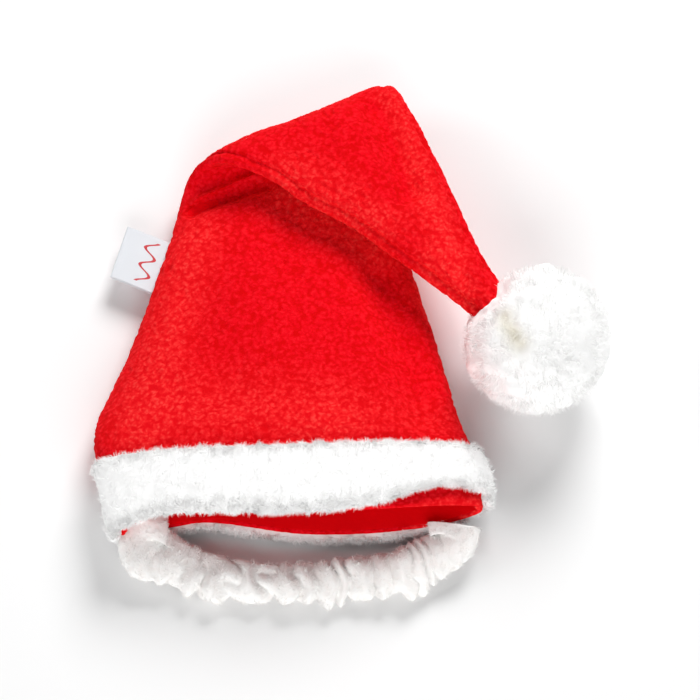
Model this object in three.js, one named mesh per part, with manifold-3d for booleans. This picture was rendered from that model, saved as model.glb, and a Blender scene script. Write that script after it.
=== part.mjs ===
// Santa hat for a pet, lying on its back with its point folded over the front.
//
// Units are millimetres. +Z is up from the surface that the hat lies on, +Y runs from the mouth
// of the hat towards the fold, and +X is the side that the pompom falls to. The origin is on that
// surface, under the middle of the whole hat.
//
// The crown is worked out as a flat bag, wide at the mouth and narrow at the tip, and the part of
// the bag that lies past the fold line is then rolled over a cylinder and laid back on top.

import * as THREE from "three";
import { LoftGeometry } from "three/addons/geometries/LoftGeometry.js";
import { mergeVertices } from "three/addons/utils/BufferGeometryUtils.js";
import Module from "manifold-3d";

const wasm = await Module();
wasm.setup();

// Cloth
const fleeceThickness = 2.5;
const plushThickness = 6.5; // knitted backing and its pile
const seatGap = 0.3; // left between two pieces that touch

// Crown, as a flat bag
const mouthWidth = 166; // across the fleece, lying flat
const crownLength = 341; // from the mouth to the tip, along the cloth
const crownLoft = 33; // height of the fleece at the mouth
const mouthX = -33.5; // middle of the mouth
const mouthY = -91;
const mouthSlant = 5; // the right end of the mouth lies this much further back, the left end nearer
const mouthArch = 4; // both ends lie this much further back than the middle
const seamDepth = 1.4; // groove of the two side seams
const seamWidth = 3;
const seamShift = 6; // past the fold the seams lie this far in from the edges, on the back panel

// Fold of the crown
const foldAngle = THREE.MathUtils.degToRad(25.5); // turn of the fold line from the X axis
const foldDistance = 178.5; // from the middle of the mouth to the fold line
const foldRadius = 12; // of the cloth's middle as it turns over

// Cuff
const cuffWidth = 32;
const plushTaper = 0.35; // share of the thickness that is lost at the edge away from the mouth

// Chin strap, a gathered tube of plush over elastic
const strapReach = 30; // how far its middle lies in front of the mouth
const strapWidth = 24;
const strapHeight = 13;
const strapFolds = 21;
const foldHeight = 3; // of one gathered fold

// Pompom
const pompomDiameter = 67;
const lockCount = 42;
const lockLength = 3.5; // what the round end of a lock stands out of the head
const lockRadius = 11;
const pompomSink = 0.65; // share of its radius from the crown's tip to its middle
const pompomTurn = THREE.MathUtils.degToRad(12.7); // of its middle, from the way the tip points

// Label, a woven ribbon folded in two
const labelLength = 27.2; // along the seam
const labelReach = 22.5; // out of the seam
const ribbonThickness = 0.6;
const ribbonGap = 0.5; // between its two layers
const labelAlong = 0.379; // share of the crown's length where its middle is sewn in
const labelSkew = THREE.MathUtils.degToRad(10); // it is pulled askew towards the tip

// How finely the surfaces are divided
const crownSides = 40; // also those of the cuff, so that their facets run together
const outerRings = 46;
const innerRings = 17;
const strapRings = 94;
const strapSides = 12;

// The crown's sections. along is a share of crownLength, lean and half are shares of
// mouthWidth, and edge, front and back are shares of crownLoft: the height of the side seams, and
// how far the front and the back panel stand from them. blunt flattens the back panel, and turn is
// how far the section turns from square to parallel with the fold.
const crownRows = [
  { along: 0.0, lean: 0.0685, half: 0.4755, edge: 0.59, front: 0.41, back: 0.378, blunt: 0.6, turn: 0 },
  { along: 0.05, lean: 0.052, half: 0.489, edge: 0.58, front: 0.46, back: 0.368, blunt: 0.6, turn: 0 },
  { along: 0.1, lean: 0.015, half: 0.492, edge: 0.54, front: 0.52, back: 0.34, blunt: 0.6, turn: 0 },
  { along: 0.144, lean: 0.001, half: 0.479, edge: 0.44, front: 0.58, back: 0.42, blunt: 0.5, turn: 0 },
  { along: 0.19, lean: 0.01, half: 0.453, edge: 0.35, front: 0.63, back: 0.38, blunt: 0.4, turn: 0 },
  { along: 0.284, lean: 0.021, half: 0.398, edge: 0.31, front: 0.59, back: 0.33, blunt: 0.4, turn: 0.3 },
  { along: 0.372, lean: 0.021, half: 0.348, edge: 0.3, front: 0.48, back: 0.32, blunt: 0.4, turn: 0.8 },
  { along: 0.46, lean: 0.0235, half: 0.304, edge: 0.29, front: 0.36, back: 0.29, blunt: 0.5, turn: 1 },
  { along: 0.548, lean: 0.036, half: 0.272, edge: 0.29, front: 0.2, back: 0.2, blunt: 0.7, turn: 1 },
  { along: 0.648, lean: 0.048, half: 0.233, edge: 0.29, front: 0.16, back: 0.2, blunt: 0.8, turn: 1 },
  { along: 0.707, lean: 0.029, half: 0.211, edge: 0.29, front: 0.19, back: 0.27, blunt: 0.8, turn: 0.9 },
  { along: 0.774, lean: 0.005, half: 0.167, edge: 0.29, front: 0.2, back: 0.28, blunt: 0.85, turn: 0.6 },
  { along: 0.862, lean: -0.046, half: 0.116, edge: 0.29, front: 0.22, back: 0.27, blunt: 0.9, turn: 0.2 },
  { along: 0.947, lean: -0.095, half: 0.07, edge: 0.29, front: 0.22, back: 0.25, blunt: 1, turn: 0 },
  { along: 1.0, lean: -0.12, half: 0.055, edge: 0.29, front: 0.21, back: 0.22, blunt: 1, turn: 0 },
];

// The edge of the mouth. across is a share of its half width, and the rest are shares of cuffWidth:
// how far the fleece of the front and of the back panel reaches past the mouth's own line, and how
// far the plush reaches past the fleece there.
const mouthRows = [
  { across: -1.0, front: 0.11, back: 0.11, frontPlush: 0.11, backPlush: 0.11 },
  { across: -0.75, front: -0.06, back: -0.09, frontPlush: 0.11, backPlush: 0.11 },
  { across: -0.5, front: -0.075, back: -0.2, frontPlush: 0.11, backPlush: 0.11 },
  { across: 0.0, front: 0.015, back: 0.0, frontPlush: 0.11, backPlush: 0.11 },
  { across: 0.4, front: 0.045, back: 0.08, frontPlush: 0.0, backPlush: 0.11 },
  { across: 0.75, front: 0.055, back: 0.1, frontPlush: -0.22, backPlush: 0.07 },
  { across: 1.0, front: 0.07, back: 0.07, frontPlush: -0.14, backPlush: -0.05 },
];

// Where the crown's rings lie, close together at the fold. share is the ring's place in their row
// from the tip, and along is its place on the crown.
const ringRows = [
  { share: 0.0, along: 1.0 },
  { share: 0.22, along: 0.68 },
  { share: 0.55, along: 0.5 },
  { share: 1.0, along: 0.0 },
];

// The cuff's section. reach is a share of its width from the mouth's edge, and depth a share of its
// thickness from the face that lies on the fleece.
const cuffRows = [
  { reach: 0.05, depth: 0.0 },
  { reach: 0.28, depth: 0.0 },
  { reach: 0.52, depth: 0.0 },
  { reach: 0.76, depth: 0.0 },
  { reach: 0.97, depth: 0.0 },
  { reach: 1.0, depth: 0.45 },
  { reach: 0.93, depth: 0.88 },
  { reach: 0.72, depth: 1.0 },
  { reach: 0.42, depth: 1.0 },
  { reach: 0.13, depth: 0.97 },
  { reach: 0.02, depth: 0.75 },
  { reach: 0.0, depth: 0.35 },
];

// Dents and swellings pressed into the crown, each along a line of the flat bag. along is a share of
// crownLength and across a share of the half width there, width a share of mouthWidth, and depth a
// share of crownLoft, less than zero where the cloth swells.
const dentRows = [
  { panel: "front", along1: 0.346, across1: 0.7, along2: 0.139, across2: 0.8, width: 0.055, depth: 0.12 },
  { panel: "front", along1: 0.295, across1: -0.6, along2: 0.177, across2: -0.31, width: 0.07, depth: 0.05 },
  { panel: "front", along1: 0.38, across1: 0.05, along2: 0.24, across2: 0.25, width: 0.08, depth: 0.04 },
  { panel: "front", along1: 0.462, across1: -0.85, along2: 0.495, across2: -0.2, width: 0.02, depth: 0.16 },
  { panel: "front", along1: 0.484, across1: -0.85, along2: 0.52, across2: -0.22, width: 0.02, depth: -0.08 },
  { panel: "back", along1: 0.6, across1: -0.15, along2: 0.64, across2: 0.35, width: 0.07, depth: 0.07 },
  { panel: "back", along1: 0.69, across1: 0.58, along2: 0.805, across2: 0.16, width: 0.05, depth: 0.2 },
  { panel: "back", along1: 0.886, across1: 0.6, along2: 0.946, across2: -0.35, width: 0.03, depth: 0.06 },
];

// The strap's middle line. across is a share of half the mouth's width from mouthX, reach a share
// of strapReach in front of mouthY, rise a share of strapHeight above the floor, width and height
// shares of the strap's own, roll its turn in degrees, and gather how far it is ruffled.
const strapRows = [
  { across: -0.65, reach: -0.3, rise: 1.28, width: 0.5, height: 0.38, roll: -14, gather: 0.0 },
  { across: -0.64, reach: 0.05, rise: 1.36, width: 0.62, height: 0.42, roll: -14, gather: 0.0 },
  { across: -0.625, reach: 0.33, rise: 0.9, width: 1.0, height: 0.6, roll: 4, gather: 0.15 },
  { across: -0.4, reach: 0.6, rise: 0.58, width: 0.82, height: 0.85, roll: 6, gather: 0.9 },
  { across: -0.139, reach: 0.745, rise: 0.47, width: 0.72, height: 0.92, roll: 2, gather: 1.0 },
  { across: 0.15, reach: 0.745, rise: 0.47, width: 0.7, height: 0.92, roll: 0, gather: 1.0 },
  { across: 0.428, reach: 0.69, rise: 0.47, width: 0.8, height: 0.92, roll: 0, gather: 1.0 },
  { across: 0.657, reach: 0.595, rise: 0.47, width: 0.9, height: 0.92, roll: 0, gather: 1.0 },
  { across: 0.79, reach: 0.45, rise: 0.5, width: 0.9, height: 0.85, roll: 0, gather: 0.6 },
  { across: 0.925, reach: 0.24, rise: 0.72, width: 0.78, height: 0.6, roll: -4, gather: 0.1 },
  { across: 0.94, reach: 0.0, rise: 1.02, width: 1.0, height: 0.42, roll: 0, gather: 0.0 },
];

// The value of one column at a place along a table, on a smooth curve through its rows.
function columnAt(rows, key, name, place) {
  const last = rows.length - 1;
  if (place <= rows[0][key]) return rows[0][name];
  if (place >= rows[last][key]) return rows[last][name];
  const i = rows.findIndex((row) => row[key] > place) - 1;
  const slope = (j) => {
    const before = rows[Math.max(j - 1, 0)];
    const after = rows[Math.min(j + 1, last)];
    return (after[name] - before[name]) / (after[key] - before[key]);
  };
  const step = rows[i + 1][key] - rows[i][key];
  const t = (place - rows[i][key]) / step;
  const rising = t * t * (3 - 2 * t);
  return (
    rows[i][name] * (1 - rising) +
    rows[i + 1][name] * rising +
    slope(i) * step * t * (1 - t) ** 2 -
    slope(i + 1) * step * t * t * (1 - t)
  );
}

// Distance from a point of the flat bag to a line between two others, all as [x, y].
function distanceToLine(point, start, end) {
  const run = [end[0] - start[0], end[1] - start[1]];
  const from = [point[0] - start[0], point[1] - start[1]];
  const share = (from[0] * run[0] + from[1] * run[1]) / (run[0] ** 2 + run[1] ** 2);
  const t = THREE.MathUtils.clamp(share, 0, 1);
  return Math.hypot(from[0] - run[0] * t, from[1] - run[1] * t);
}

// A place of the flat bag, from its shares along and across, as [x, y] from the mouth's middle.
function bagPlace(along, across) {
  const lean = columnAt(crownRows, "along", "lean", along) * mouthWidth;
  const half = columnAt(crownRows, "along", "half", along) * mouthWidth;
  return [lean + across * half, along * crownLength];
}

// How deep the dents press into one panel of the crown at a place of the flat bag.
function dentDepth(panel, place) {
  return dentRows
    .filter((row) => row.panel === panel)
    .reduce((sum, row) => {
      const start = bagPlace(row.along1, row.across1);
      const end = bagPlace(row.along2, row.across2);
      const away = distanceToLine(place, start, end) / (row.width * mouthWidth);
      return sum + row.depth * crownLoft * Math.exp(-away * away);
    }, 0);
}

// How much further back than the flat bag's straight mouth a place near the mouth lies.
function mouthShift(along, across, panel) {
  const lineLeft = THREE.MathUtils.clamp(1 - along / 0.3, 0, 1);
  const edgeLeft = THREE.MathUtils.clamp(1 - (along * crownLength) / cuffWidth, 0, 1);
  const line = mouthSlant * across + mouthArch * across * across;
  return line * lineLeft - columnAt(mouthRows, "across", panel, across) * cuffWidth * edgeLeft;
}

// A point of the crown. along is a share of its length and may be a little below 0 past the mouth,
// angle goes round from the right seam over the front panel, and outset is the distance outwards
// from the fleece's outer face.
function crownPoint(along, angle, outset) {
  const across = Math.cos(angle);
  const up = Math.sin(angle);
  const panel = up >= 0 ? "front" : "back";
  const half = columnAt(crownRows, "along", "half", along) * mouthWidth + outset;
  const lean = columnAt(crownRows, "along", "lean", along) * mouthWidth;
  const edge = columnAt(crownRows, "along", "edge", along) * crownLoft;
  const blunt = up >= 0 ? 1 : columnAt(crownRows, "along", "blunt", along);
  const stand = columnAt(crownRows, "along", panel, along) * crownLoft + outset;
  const x = lean + across * half;
  const y = along * crownLength + mouthShift(along, across, panel);

  // The dents keep away from the seams, so that both panels still meet there.
  let rise = Math.sign(up) * Math.abs(up) ** blunt * stand;
  rise -= Math.sign(up) * dentDepth(panel, [x, y]) * Math.min(1, 2 * Math.abs(up));
  rise = Math.max(rise, Math.max(0, -outset) - edge);

  // The cloth is drawn in a little along the seams.
  const roundEdge = (up < 0 ? 1 : -1) * ((1 - Math.abs(across)) * half + Math.abs(rise));
  const fromSeam = roundEdge - seamShift * THREE.MathUtils.smoothstep(along, 0.4, 0.55);
  const pull = seamDepth * Math.exp(-((fromSeam / seamWidth) ** 2));
  return rollOver(x - pull * across, y, edge, rise - pull * up);
}

// Rolls what lies past the fold line over the fold's cylinder and lays it back on the crown.
function rollOver(x, y, edge, rise) {
  const sin = Math.sin(foldAngle);
  const cos = Math.cos(foldAngle);
  const past = (y - foldDistance) * cos - x * sin;
  const beside = (y - foldDistance) * sin + x * cos;
  let back = past;
  let height = edge + rise;
  if (past > 0) {
    const turn = Math.min(past / foldRadius, Math.PI);
    const arm = foldRadius - rise;
    back = arm * Math.sin(turn) - (past - turn * foldRadius);
    height = edge + foldRadius - arm * Math.cos(turn);
  }
  return new THREE.Vector3(
    mouthX + beside * cos - back * sin,
    mouthY + foldDistance + beside * sin + back * cos,
    height,
  );
}

// One closed ring of the crown, front panel first, turned towards the fold near it.
function crownRing(along, outset) {
  const half = columnAt(crownRows, "along", "half", along) * mouthWidth;
  const turn = columnAt(crownRows, "along", "turn", along);
  const slant = (turn * half * Math.tan(foldAngle)) / crownLength;
  return Array.from({ length: crownSides }, (_, i) => {
    const angle = (2 * Math.PI * i) / crownSides;
    return crownPoint(along + slant * Math.cos(angle), angle, outset);
  });
}

// A ring pressed flat, so that its two panels meet and end the bag.
function pressFlat(ring) {
  return ring.map((point, i) =>
    point.clone().add(ring[(crownSides - i) % crownSides]).multiplyScalar(0.5),
  );
}

// A copy of a geometry in which points that fall together are one, so that its surface is closed.
function closed(geometry) {
  const bare = new THREE.BufferGeometry().copy(geometry);
  bare.deleteAttribute("normal");
  bare.deleteAttribute("uv");
  return mergeVertices(bare, 1e-4);
}

function piece(name, geometry, material) {
  const surface = closed(geometry);
  surface.computeVertexNormals();
  const mesh = new THREE.Mesh(surface, material);
  mesh.name = name;
  return mesh;
}

// A geometry as a solid for joining and cutting, and back.
function toSolid(geometry) {
  const merged = closed(geometry);
  return new wasm.Manifold(
    new wasm.Mesh({
      numProp: 3,
      vertProperties: merged.attributes.position.array,
      triVerts: new Uint32Array(merged.index.array),
    }),
  );
}

function toGeometry(solid) {
  const { vertProperties, triVerts } = solid.getMesh();
  const geometry = new THREE.BufferGeometry();
  geometry.setAttribute("position", new THREE.BufferAttribute(vertProperties, 3));
  geometry.setIndex(new THREE.BufferAttribute(triVerts, 1));
  return geometry;
}

const redFleece = new THREE.MeshStandardMaterial({ color: 0xe0101c, roughness: 0.95, metalness: 0 });
const whitePlush = new THREE.MeshStandardMaterial({ color: 0xf7f6f3, roughness: 1, metalness: 0 });
const whiteRibbon = new THREE.MeshStandardMaterial({ color: 0xeef0f2, roughness: 0.5, metalness: 0 });

// The crown: one bag of fleece, open at the mouth. The loft runs down the outer face from the tip,
// round the turned edge at the mouth, and back up the inner face.
function makeCrown() {
  const wallShare = fleeceThickness / crownLength;
  const ringAlong = (i, count) => columnAt(ringRows, "share", "along", i / (count - 1));
  const outer = Array.from({ length: outerRings }, (_, i) =>
    crownRing(ringAlong(i, outerRings), 0),
  );
  const edge = [crownRing(-0.35 * wallShare, -0.5 * fleeceThickness)];
  const inner = Array.from({ length: innerRings }, (_, i) =>
    crownRing(ringAlong(innerRings - 1 - i, innerRings) * (1 - 2 * wallShare), -fleeceThickness),
  );
  const end = [pressFlat(crownRing(1 - 1.6 * wallShare, -fleeceThickness))];
  const rings = [...outer, ...edge, ...inner, ...end];
  return piece("crown", new LoftGeometry(rings, { capStart: true }), redFleece);
}

// The cuff: a plush band round the mouth. Its sections go round the mouth, each one a rounded
// oblong standing on the fleece.
function makeCuff() {
  const overhang = mouthRows[0].frontPlush * cuffWidth;
  const sections = Array.from({ length: crownSides }, (_, i) => {
    const angle = (-2 * Math.PI * i) / crownSides;
    const panel = Math.sin(angle) >= 0 ? "frontPlush" : "backPlush";
    const past = columnAt(mouthRows, "across", panel, Math.cos(angle)) * cuffWidth;
    return cuffRows.map(({ reach, depth }) => {
      const along = reach * (cuffWidth - overhang) - (1 - reach) * past;
      const outset = seatGap + depth * plushThickness * (1 - plushTaper * reach);
      return crownPoint(along / crownLength, angle, outset);
    });
  });
  return piece("cuff", new LoftGeometry([...sections, sections[0]]), whitePlush);
}

// The strap's frame at a place along it: its middle, and its two directions across.
function strapFrame(place) {
  const at = (name, share) => columnAt(strapPlaces, "place", name, share);
  const middle = (share) =>
    new THREE.Vector3(
      mouthX + (at("across", share) * mouthWidth) / 2,
      mouthY - at("reach", share) * strapReach,
      at("rise", share) * strapHeight,
    );
  const step = 0.004;
  const ahead = middle(place + step).sub(middle(place - step)).setZ(0).normalize();
  const roll = THREE.MathUtils.degToRad(at("roll", place));
  const side = new THREE.Vector3(-ahead.y, ahead.x, 0);
  const up = new THREE.Vector3(0, 0, 1);
  return {
    middle: middle(place),
    side: side.clone().multiplyScalar(Math.cos(roll)).addScaledVector(up, Math.sin(roll)),
    top: up.clone().multiplyScalar(Math.cos(roll)).addScaledVector(side, -Math.sin(roll)),
    width: at("width", place) * strapWidth,
    height: at("height", place) * strapHeight,
    gather: at("gather", place),
  };
}
const strapPlaces = strapRows.map((row, i) => ({ ...row, place: i / (strapRows.length - 1) }));

// The chin strap: the tube's sections, with rounded folds and sharp creases between them. The
// folds are unevenly spaced and lean over from one edge of the strap to the other.
function makeStrap() {
  const sections = Array.from({ length: strapRings }, (_, i) => {
    const place = i / (strapRings - 1);
    const { middle, side, top, width, height, gather } = strapFrame(place);
    return Array.from({ length: strapSides }, (_, j) => {
      const round = (2 * Math.PI * (j + 0.5)) / strapSides;
      const uneven = 0.45 * Math.sin(9 * place + 1) + 0.3 * Math.sin(23 * place);
      const phase = Math.PI * (strapFolds * place + uneven) + 0.7 * Math.cos(round + 3 * place);
      const outer = (1 - Math.cos(round)) / 2;
      const scallop = 0.7 * outer * Math.sin(Math.PI * 11 * place + 2);
      const swell = gather * foldHeight * (Math.abs(Math.sin(phase)) * (0.5 + outer) - 0.6 + scallop);
      const across = Math.cos(round) * (width / 2 + swell);
      const rise = Math.sign(Math.sin(round)) * Math.abs(Math.sin(round)) ** 0.8 * (height / 2 + swell);
      const point = middle.clone().addScaledVector(side, across).addScaledVector(top, rise);
      return point.setZ(Math.max(point.z, 0));
    });
  });
  const loft = new LoftGeometry(sections, { capStart: true, capEnd: true });
  return piece("chin_strap", loft, whitePlush);
}

// Where the tip of the crown ends, and the way that it points there.
function crownTip() {
  const middle = (along) =>
    crownPoint(along, Math.PI / 2, 0).add(crownPoint(along, -Math.PI / 2, 0)).multiplyScalar(0.5);
  const end = middle(1);
  return { end, way: end.clone().sub(middle(0.96)).normalize() };
}

// The pompom: locks of fur fused to a round head, cut away round the crown's tip, which is sewn
// into it, and flat where it lies on the surface.
function makePompom() {
  const radius = pompomDiameter / 2;
  const { end, way } = crownTip();
  way.applyAxisAngle(new THREE.Vector3(0, 0, 1), pompomTurn);
  const centre = end.addScaledVector(way, pompomSink * radius).setZ(radius - 0.5);
  const head = new THREE.IcosahedronGeometry(radius - lockLength, 3);
  let ball = toSolid(head.translate(centre.x, centre.y, centre.z));
  const locks = Array.from({ length: lockCount }, (_, i) => {
    const height = 1 - (2 * (i + 0.5)) / lockCount;
    const turn = i * Math.PI * (3 - Math.sqrt(5));
    const flat = Math.sqrt(1 - height * height);
    const outwards = new THREE.Vector3(Math.cos(turn) * flat, Math.sin(turn) * flat, height);
    const reach = radius - (0.2 + 0.2 * Math.sin(5 * i)) * lockLength;
    const lock = new THREE.IcosahedronGeometry(lockRadius, 1);
    lock.translate(0, reach - lockRadius, 0);
    lock.applyQuaternion(
      new THREE.Quaternion().setFromUnitVectors(new THREE.Vector3(0, 1, 0), outwards),
    );
    return toSolid(lock.translate(centre.x, centre.y, centre.z));
  });
  ball = wasm.Manifold.union([ball, ...locks]);
  const socketRings = [0.85, 0.9, 0.95, 1, 1 + seatGap / crownLength].map((along) =>
    crownRing(along, 3 * seatGap).reverse(),
  );
  const socket = toSolid(new LoftGeometry(socketRings, { capStart: true, capEnd: true }));
  ball = ball.subtract(socket).trimByPlane([0, 0, 1], 0);
  return piece("pompom", toGeometry(ball), whitePlush);
}

// The label: a ribbon folded in two, with its open end at the left seam of the crown.
function makeLabel() {
  const inner = ribbonGap / 2;
  const outer = inner + ribbonThickness;
  const bend = labelReach - outer;
  const section = new THREE.Shape();
  section.moveTo(0, -outer);
  section.lineTo(bend, -outer);
  section.absarc(bend, 0, outer, -Math.PI / 2, Math.PI / 2, false);
  section.lineTo(0, outer);
  section.lineTo(0, inner);
  section.lineTo(bend, inner);
  section.absarc(bend, 0, inner, Math.PI / 2, -Math.PI / 2, true);
  section.lineTo(0, -inner);
  const ribbon = new THREE.ExtrudeGeometry(section, {
    depth: labelLength,
    bevelEnabled: false,
    curveSegments: 5,
  });
  ribbon.translate(0, 0, -labelLength / 2);
  const half = (0.5 * labelLength) / crownLength;
  const seam = crownPoint(labelAlong, Math.PI, seatGap);
  const seamWay = crownPoint(labelAlong + half, Math.PI, seatGap)
    .sub(crownPoint(labelAlong - half, Math.PI, seatGap))
    .normalize();
  const up = new THREE.Vector3(0, 0, 1);
  const out = new THREE.Vector3().crossVectors(up, seamWay).normalize();
  const thick = new THREE.Vector3().crossVectors(seamWay, out);
  out.applyAxisAngle(thick, -labelSkew);
  ribbon.applyMatrix4(new THREE.Matrix4().makeBasis(out, thick, seamWay).setPosition(seam));
  return piece("label", ribbon, whiteRibbon);
}

const hat = new THREE.Group();
hat.add(makeCrown(), makeCuff(), makeStrap(), makePompom(), makeLabel());

export default hat;
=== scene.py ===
"""Santa hat for a pet, lying on its back with its point folded over the front.

Metres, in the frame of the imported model: +Z is up from the surface that the hat lies on, +Y runs
from the mouth of the hat towards the fold, and +X is the side that the pompom falls to.
"""

import math

import bmesh
import bpy
import numpy as np
from mathutils import Matrix, Vector


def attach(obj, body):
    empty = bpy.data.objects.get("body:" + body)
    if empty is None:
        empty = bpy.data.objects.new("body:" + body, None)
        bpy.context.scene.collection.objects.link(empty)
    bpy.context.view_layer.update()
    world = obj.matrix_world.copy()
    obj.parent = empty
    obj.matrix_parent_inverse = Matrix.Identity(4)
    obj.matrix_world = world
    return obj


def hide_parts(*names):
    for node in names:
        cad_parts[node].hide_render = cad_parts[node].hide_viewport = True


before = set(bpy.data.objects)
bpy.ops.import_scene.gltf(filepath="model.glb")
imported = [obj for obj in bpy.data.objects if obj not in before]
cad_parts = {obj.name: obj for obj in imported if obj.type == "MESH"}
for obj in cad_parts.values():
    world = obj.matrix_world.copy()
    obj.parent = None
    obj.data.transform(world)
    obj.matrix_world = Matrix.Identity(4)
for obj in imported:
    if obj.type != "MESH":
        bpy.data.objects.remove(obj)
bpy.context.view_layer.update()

MM = 0.001

# Camera. It looks down on the mouth of the hat at the photograph's angle, and a pixel of its frame
# covers 0.45 mm at the point that it looks at.
CAMERA_ELEVATION = math.radians(62)
CAMERA_DISTANCE = 1.5
CAMERA_TARGET = Vector((-1.0, 2.5, 0.0)) * MM
FRAME_PIXELS = 700
PIXEL_SIZE = 0.45 * MM
SENSOR_WIDTH = 36.0

camera_data = bpy.data.cameras.new("camera")
camera_data.sensor_width = SENSOR_WIDTH
camera_data.lens = SENSOR_WIDTH * CAMERA_DISTANCE / (FRAME_PIXELS * PIXEL_SIZE)
camera = bpy.data.objects.new("camera", camera_data)
away = Vector((0.0, -math.cos(CAMERA_ELEVATION), math.sin(CAMERA_ELEVATION)))
camera.location = CAMERA_TARGET + away * CAMERA_DISTANCE
camera.rotation_euler = (math.pi / 2 - CAMERA_ELEVATION, 0.0, 0.0)
bpy.context.scene.collection.objects.link(camera)
bpy.context.scene.camera = camera

# Studio. A white sheet of paper lies under the hat. One large soft lamp stands behind it, so the
# folded point throws its shadow over the front, a weak one fills from the left, and a wide one
# low in front lights the strap, the pompom and the inside of the mouth.
FLOOR_SIZE = 6.0
PAPER_COLOR = (0.93, 0.93, 0.93)
PAPER_ROUGHNESS = 0.9
LAMPS = [
    {"name": "back_key", "place": (0.35, 1.0, 0.95), "size": 0.8, "watts": 19.5},
    {"name": "left_fill", "place": (-1.2, 0.1, 0.75), "size": 0.8, "watts": 4.5},
    {"name": "front_low", "place": (0.1, -1.5, 0.65), "size": 1.5, "watts": 21.5},
]
WORLD_STRENGTH = 0.14

bpy.context.scene.view_settings.view_transform = "Standard"
world = bpy.data.worlds.new("studio")
world.use_nodes = True
world.node_tree.nodes["Background"].inputs["Color"].default_value = (1.0, 1.0, 1.0, 1.0)
world.node_tree.nodes["Background"].inputs["Strength"].default_value = WORLD_STRENGTH
bpy.context.scene.world = world

for lamp in LAMPS:
    light = bpy.data.lights.new(lamp["name"], "AREA")
    light.shape = "DISK"
    light.size = lamp["size"]
    light.energy = lamp["watts"]
    holder = bpy.data.objects.new(lamp["name"], light)
    holder.location = lamp["place"]
    holder.rotation_euler = (-Vector(lamp["place"])).to_track_quat("-Z", "Y").to_euler()
    bpy.context.scene.collection.objects.link(holder)


def plain_material(name, color, roughness):
    """A material of one colour, as (material, its Principled shader)."""
    material = bpy.data.materials.new(name)
    material.use_nodes = True
    shader = material.node_tree.nodes["Principled BSDF"]
    shader.inputs["Base Color"].default_value = (*color, 1.0)
    shader.inputs["Roughness"].default_value = roughness
    return material, shader


floor_mesh = bpy.data.meshes.new("floor")
reach = FLOOR_SIZE / 2
corners = [(-reach, -reach, 0.0), (reach, -reach, 0.0), (reach, reach, 0.0), (-reach, reach, 0.0)]
floor_mesh.from_pydata(corners, [], [(0, 1, 2, 3)])
floor_mesh.materials.append(plain_material("white_paper", PAPER_COLOR, PAPER_ROUGHNESS)[0])
floor = bpy.data.objects.new("floor", floor_mesh)
bpy.context.scene.collection.objects.link(floor)

# Crown. The real one is a bag of polyester fleece, sewn from a front and a back panel with a seam
# down each side. It is hollow and open at the mouth, and its narrow half is folded over to the
# front and to the right. The fleece is napped: short curls stand 2 to 3 mm apart all over it.
FLEECE_THICKNESS = 2.5
SEAT_GAP = 0.3  # left between two pieces that touch
MOUTH_WIDTH = 166.0  # across the fleece, lying flat
CROWN_LENGTH = 341.0  # from the mouth to the tip, along the cloth
CROWN_LOFT = 33.0  # height of the fleece at the mouth
MOUTH_X = -33.5  # middle of the mouth
MOUTH_Y = -91.0
MOUTH_SLANT = 5.0  # the right end of the mouth lies this much further back, the left end nearer
MOUTH_ARCH = 4.0  # both ends lie this much further back than the middle
MOUTH_FADE = 0.3  # share of the crown's length over which that slant and arch die out
SEAM_DEPTH = 2.0  # groove of the two side seams
SEAM_WIDTH = 1.8
SEAM_SHIFT = 6.0  # past the fold the seams lie this far in from the edges, on the back panel
SHIFT_START = 0.4  # share of the crown's length where the seams leave the edges
SHIFT_RUN = 0.15  # share of the crown's length on which they reach their place
FOLD_ANGLE = math.radians(25.5)  # turn of the fold line from the X axis
FOLD_DISTANCE = 178.5  # from the middle of the mouth to the fold line
FOLD_RADIUS = 12.0  # of the cloth's middle as it turns over
CUFF_WIDTH = 32.0

CURL_PITCH = 2.6  # from one curl of the nap to the next
CURL_HEIGHT = 0.42
SWELL_PITCH = 9 * CURL_PITCH  # of the low swells under the curls
SWELL_SHARE = 0.25  # of the nap's height that those swells have
LIP_NAP = 0.5  # share of the curls' height that is left on the cloth's edge at the mouth
INNER_NAP = 0.35  # the same just inside the mouth, where the nap dies out in a few millimetres
CROWN_COLUMNS = 256  # round the crown
ROUND_BEND = 0.26  # sets the columns nearly evenly round the flat bag
OUTER_RINGS = 312
LIP_RINGS = 5
INNER_RINGS = 58
INNER_CROWDING = 1.6  # power that sets the inner rings closer together towards the mouth

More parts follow.
